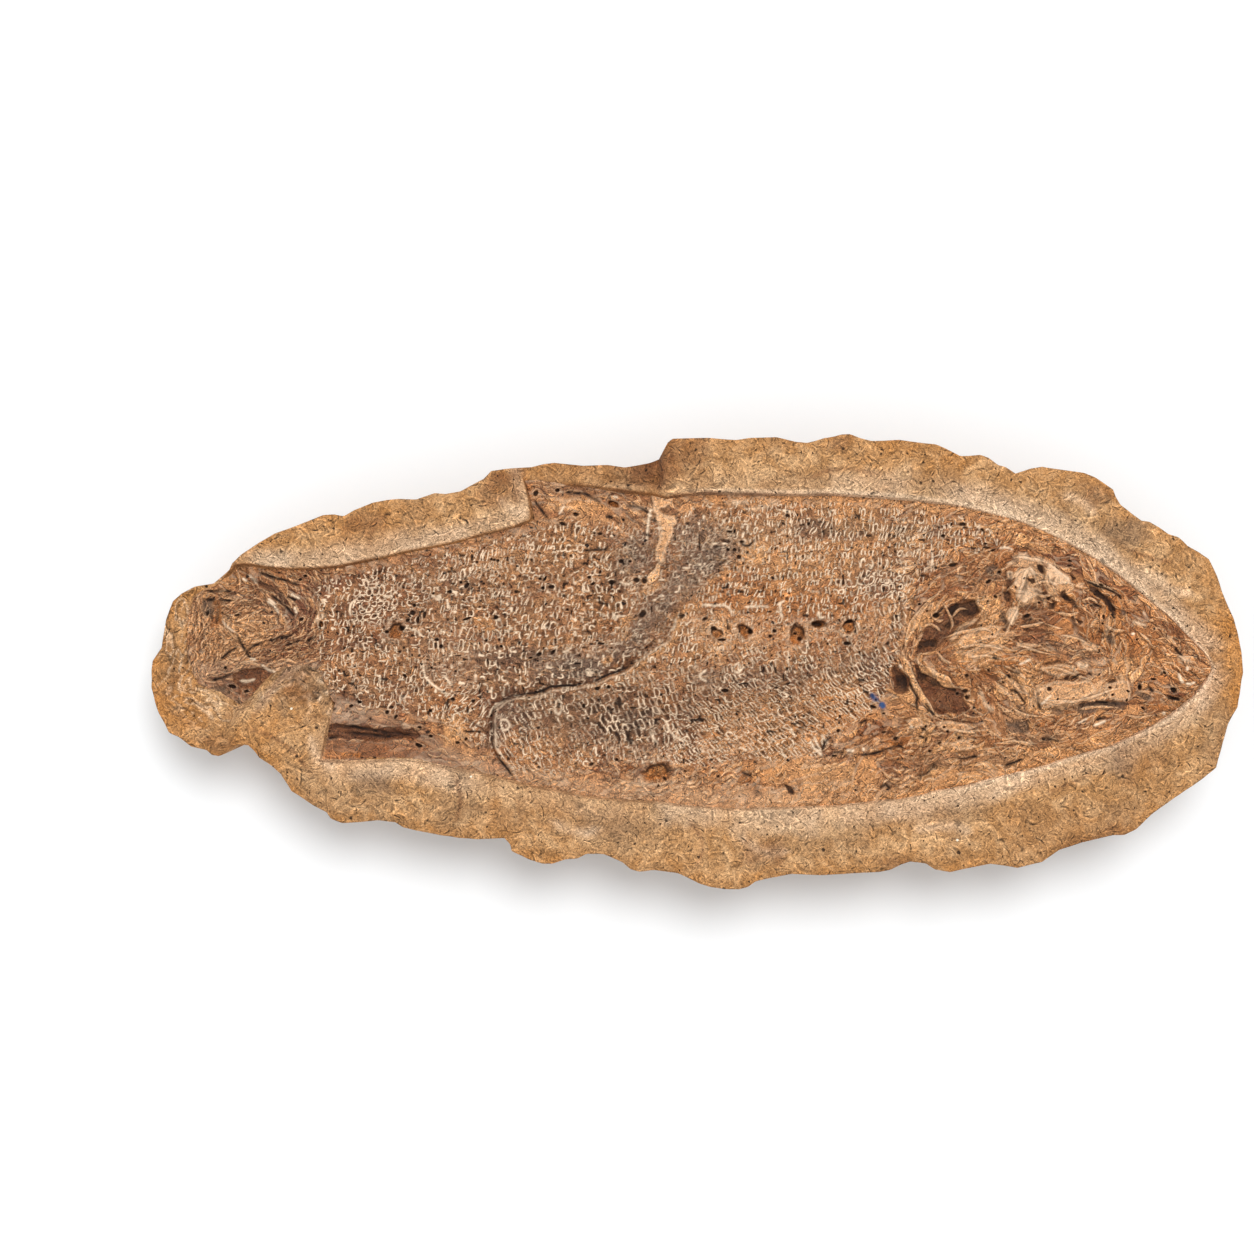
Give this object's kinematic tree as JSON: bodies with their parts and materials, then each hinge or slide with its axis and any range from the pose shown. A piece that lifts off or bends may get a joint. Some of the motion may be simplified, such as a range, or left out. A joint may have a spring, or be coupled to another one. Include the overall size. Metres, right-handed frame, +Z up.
{
  "type": "fossil fish",
  "caption": "Half of a split limestone nodule with a fossil fish lying flank-up in its trough, tail at one end and snout at the other.",
  "frame": {"origin": "on the surface that the slab rests on, under the middle of its outline", "axes": "+X to the fish's snout along the slab, +Y to the fish's back, +Z up out of the split face"},
  "size_m": [0.3004, 0.1252, 0.0347],
  "materials": {
    "matrix": "fine-grained tan limestone, tooled and weathered, with small pits and rust stains",
    "fossil": "brown fossil scales and bone with pale scale edges, satin where bone is smooth"
  },
  "bodies": {
    "root": {"matrix": "matrix", "fish": "fossil"}
  },
  "joints": []
}
